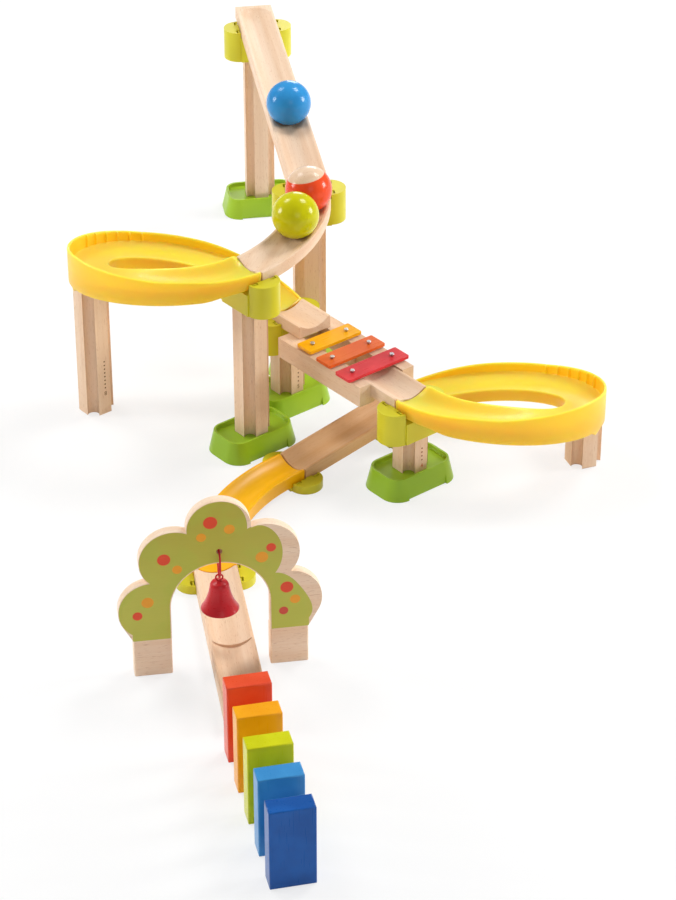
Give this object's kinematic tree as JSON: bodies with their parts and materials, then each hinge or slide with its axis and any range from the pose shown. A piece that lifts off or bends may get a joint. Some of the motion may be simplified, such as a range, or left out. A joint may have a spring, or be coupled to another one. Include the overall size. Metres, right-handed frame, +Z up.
{
  "type": "ball track",
  "caption": "Wooden ball track on columns with ramps, bends, moulded spirals, chime bars, a tree gate with a bell and toppling blocks.",
  "frame": {"origin": "middle of the whole layout on the floor it stands on", "axes": "+Z up; the long way of the layout runs along Y, from the last block at -Y to the start ramp at +Y; +X to the right as seen from -Y"},
  "size_m": [0.513, 1.1936, 0.2564],
  "materials": {
    "beech": "satin lacquer",
    "foot_green": "moulded",
    "clip_lime": "moulded",
    "spiral_yellow": "moulded",
    "bend_orange": "moulded",
    "bar_yellow": "satin paint",
    "bar_orange": "satin paint",
    "bar_red": "satin paint",
    "steel": "polished",
    "felt": "felted",
    "leaf_print": "printed and lacquered",
    "bell_red": "gloss paint",
    "cord_red": "braided",
    "domino_red": "gloss lacquer",
    "domino_orange": "gloss lacquer",
    "domino_lime": "gloss lacquer",
    "domino_sky": "gloss lacquer",
    "domino_blue": "gloss lacquer",
    "ball_blue": "gloss lacquer",
    "ball_red": "gloss lacquer",
    "ball_lime": "gloss lacquer"
  },
  "bodies": {
    "track": {"foot_start": "foot_green", "foot_bend": "foot_green", "foot_spiral": "foot_green", "foot_chime_head": "foot_green", "foot_chime_exit": "foot_green", "column_start": "beech", "column_bend": "beech", "column_spiral": "beech", "column_chime_head": "beech", "column_chime_exit": "beech", "column_far_1": "beech", "column_far_2": "beech", "connector_start": "clip_lime", "connector_bend": "clip_lime", "connector_spiral": "clip_lime", "connector_chime_head": "clip_lime", "connector_chime_exit": "clip_lime", "connector_ramp_head": "clip_lime", "connector_ramp_foot": "clip_lime", "connector_finish": "clip_lime", "start_ramp": "beech", "upper_bend": "beech", "spiral_1": "spiral_yellow", "spiral_2": "spiral_yellow", "long_ramp": "beech", "low_bend": "bend_orange", "finish_track": "beech", "chime_rail_near": "beech", "chime_rail_far": "beech", "chime_entry_chute": "beech", "chime_exit_chute": "beech", "chime_cross_bar": "beech", "chime_pins": "steel", "chime_felts": "felt", "tree_board": "leaf_print", "tree_block_left": "beech", "tree_block_right": "beech", "tree_dowels": "beech", "bell_cord": "cord_red"},
    "ball_blue": {"ball_blue": "ball_blue"},
    "ball_red": {"ball_red": "ball_red"},
    "ball_lime": {"ball_lime": "ball_lime"},
    "domino_red": {"domino_red": "domino_red"},
    "domino_orange": {"domino_orange": "domino_orange"},
    "domino_lime": {"domino_lime": "domino_lime"},
    "domino_sky": {"domino_sky": "domino_sky"},
    "domino_blue": {"domino_blue": "domino_blue"},
    "bell": {"bell": "bell_red"},
    "bell_clapper": {"bell_clapper": "steel"},
    "chime_bar_yellow": {"chime_bar_yellow": "bar_yellow"},
    "chime_bar_orange": {"chime_bar_orange": "bar_orange"},
    "chime_bar_red": {"chime_bar_red": "bar_red"}
  },
  "joints": [
    {"name": "ball_blue_roll", "type": "slide", "parent": "track", "child": "ball_blue", "axis": [0.1615, -0.9861, -0.0399], "range_m": [-0.2, 0.09]},
    {"name": "ball_red_roll", "type": "hinge", "parent": "track", "child": "ball_red", "pos_m": [-0.17883, 0.17918, 0.1916], "axis": [0.0329, 0.0871, -0.9957], "range_deg": [-8, 0.5]},
    {"name": "ball_lime_roll", "type": "hinge", "parent": "track", "child": "ball_lime", "pos_m": [-0.17883, 0.17918, 0.1916], "axis": [0.0329, 0.0871, -0.9957], "range_deg": [0, 18]},
    {"name": "domino_red_topple", "type": "hinge", "parent": "track", "child": "domino_red", "pos_m": [-0.07006, -0.43231, 0.0016], "axis": [0.9736, 0.2284, 0], "range_deg": [0, 15]},
    {"name": "domino_orange_topple", "type": "hinge", "parent": "track", "child": "domino_orange", "pos_m": [-0.06074, -0.47203, 0.0016], "axis": [0.9736, 0.2284, 0], "range_deg": [0, 15]},
    {"name": "domino_lime_topple", "type": "hinge", "parent": "track", "child": "domino_lime", "pos_m": [-0.05143, -0.51175, 0.0016], "axis": [0.9736, 0.2284, 0], "range_deg": [0, 15]},
    {"name": "domino_sky_topple", "type": "hinge", "parent": "track", "child": "domino_sky", "pos_m": [-0.04211, -0.55147, 0.0016], "axis": [0.9736, 0.2284, 0], "range_deg": [0, 15]},
    {"name": "domino_blue_topple", "type": "hinge", "parent": "track", "child": "domino_blue", "pos_m": [-0.03279, -0.5912, 0.0016], "axis": [0.9736, 0.2284, 0], "range_deg": [0, 90]},
    {"name": "bell_swing", "type": "hinge", "parent": "track", "child": "bell", "pos_m": [-0.09843, -0.30179, 0.0928], "axis": [0.9869, 0.1616, 0], "range_deg": [-22, 22]},
    {"name": "clapper_swing", "type": "hinge", "parent": "bell", "child": "bell_clapper", "pos_m": [-0.09843, -0.30179, 0.08445], "axis": [0.9869, 0.1616, 0], "range_deg": [-20, 20]},
    {"name": "chime_yellow_play", "type": "slide", "parent": "track", "child": "chime_bar_yellow", "axis": [0, 0, 1], "range_m": [0, 0.0008]},
    {"name": "chime_orange_play", "type": "slide", "parent": "track", "child": "chime_bar_orange", "axis": [0, 0, 1], "range_m": [0, 0.0008]},
    {"name": "chime_red_play", "type": "slide", "parent": "track", "child": "chime_bar_red", "axis": [0, 0, 1], "range_m": [0, 0.0008]}
  ]
}
